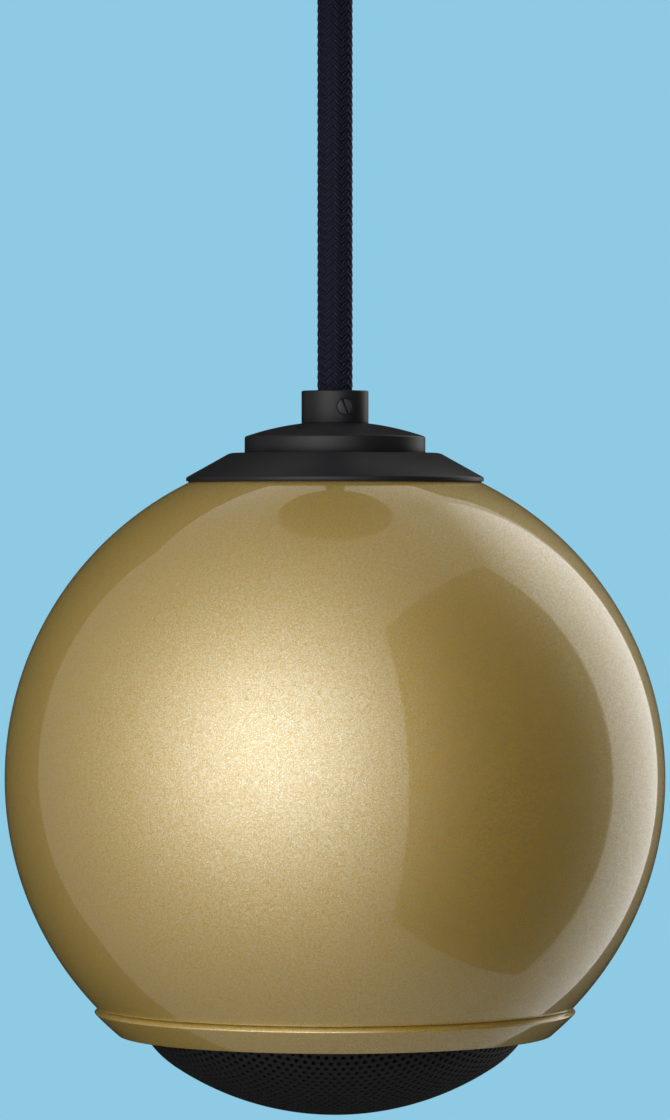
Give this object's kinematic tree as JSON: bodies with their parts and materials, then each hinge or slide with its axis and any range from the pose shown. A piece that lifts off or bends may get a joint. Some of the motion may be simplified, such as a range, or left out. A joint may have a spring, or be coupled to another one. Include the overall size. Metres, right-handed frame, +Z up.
{
  "type": "pendant speaker",
  "caption": "Round hanging loudspeaker: ball cabinet with a perforated dome below, capped and hung by a braided cord from a ceiling cup.",
  "frame": {"origin": "middle of the ceiling bracket's top face, halfway between its two ceiling screw holes, on the plane of the ceiling", "axes": "+Z up along the cord into the ceiling; -Y is the front, where the collar's grub screw faces; +X is to the right seen from the front"},
  "size_m": [0.127, 0.127, 0.2545],
  "materials": {
    "zinc_steel": "satin",
    "raw_steel": "satin",
    "black_coat": "satin",
    "black_steel": "satin",
    "crimp": "satin",
    "white_plastic": "satin",
    "brass": "satin",
    "red_core": "satin",
    "black_core": "satin",
    "braid": "matte",
    "black_rubber": "matte",
    "gold_paint": "gloss",
    "gold_paint_ring": "gloss",
    "wadding": "matte",
    "basket_coat": "satin",
    "tag_board": "matte",
    "tinsel": "matte",
    "ferrite": "matte",
    "former": "satin",
    "coil_wire": "satin",
    "spider_cloth": "matte",
    "cone_paper": "matte",
    "grille_coat": "matte"
  },
  "bodies": {
    "root": {"ceiling_bracket": "zinc_steel", "ceiling_cup": "black_coat", "cup_screws": "black_steel", "ceiling_grip": "black_coat", "ceiling_grub_screw": "black_steel", "ceiling_washer": "zinc_steel", "ceiling_nut": "zinc_steel", "ceiling_ferrule": "crimp", "terminal_block": "white_plastic", "terminal_inserts": "brass", "terminal_screws": "zinc_steel", "block_screw": "zinc_steel", "tail_positive": "red_core", "tail_negative": "black_core", "cord": "braid", "cord_grip": "black_coat", "grub_screw": "black_steel", "cap_dome": "black_coat", "cap_base": "black_coat", "cap_gasket": "black_rubber", "shell": "gold_paint", "shell_washer": "zinc_steel", "shell_nut": "zinc_steel", "cord_ferrule": "crimp", "lead_positive": "red_core", "lead_negative": "black_core", "wadding": "wadding", "baffle_ring": "raw_steel", "driver_gasket": "black_rubber", "driver_basket": "basket_coat", "driver_screws": "zinc_steel", "tag_board": "tag_board", "solder_tags": "brass", "tinsel_leads": "tinsel", "front_plate": "zinc_steel", "magnet": "ferrite", "yoke": "zinc_steel", "spider": "spider_cloth", "surround": "black_rubber", "grille": "grille_coat", "front_ring": "gold_paint_ring"},
    "diaphragm": {"cone": "cone_paper", "coil_former": "former", "voice_coil": "coil_wire", "dust_cap": "cone_paper"}
  },
  "joints": [
    {"name": "cone_travel", "type": "slide", "parent": "root", "child": "diaphragm", "axis": [0, 0, 1], "range_m": [-0.0025, 0.0025], "stiffness_N_per_m": 1000, "deforming": ["surround", "spider", "tinsel_leads"]}
  ]
}
